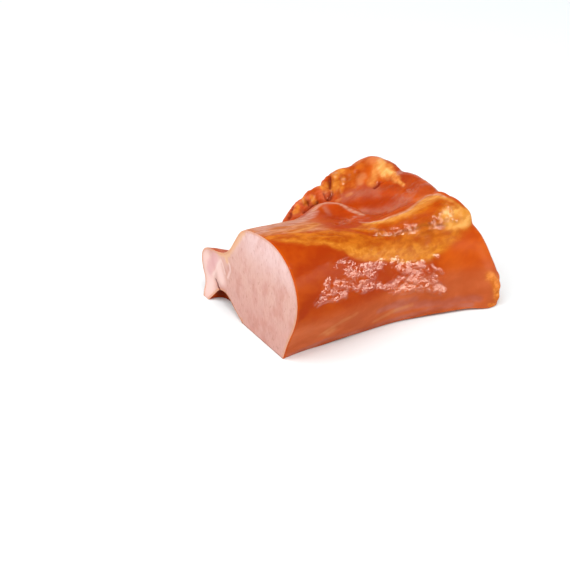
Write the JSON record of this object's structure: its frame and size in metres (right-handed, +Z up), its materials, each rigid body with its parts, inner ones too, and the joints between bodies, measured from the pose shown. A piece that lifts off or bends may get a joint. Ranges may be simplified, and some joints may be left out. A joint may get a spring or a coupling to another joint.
{
  "type": "pork pastrami",
  "caption": "Piece of smoked, cured pork loin with a flat knife-cut face, a thin hanging flap beside the eye muscle and a craggy rear muscle; rests on its flat underside.",
  "frame": {"origin": "middle of the bounding box, on the plane that the piece rests on", "axes": "+X along the grain, from the knife-cut face to the far end; +Y from the smooth front to the rear muscle; +Z up"},
  "size_m": [0.1702, 0.1378, 0.0814],
  "materials": {
    "smoked_pork": "smoked, glazed and moist outside, pink cured meat at the cut face"
  },
  "bodies": {
    "root": {"pork_pastrami": "smoked_pork"}
  },
  "joints": []
}
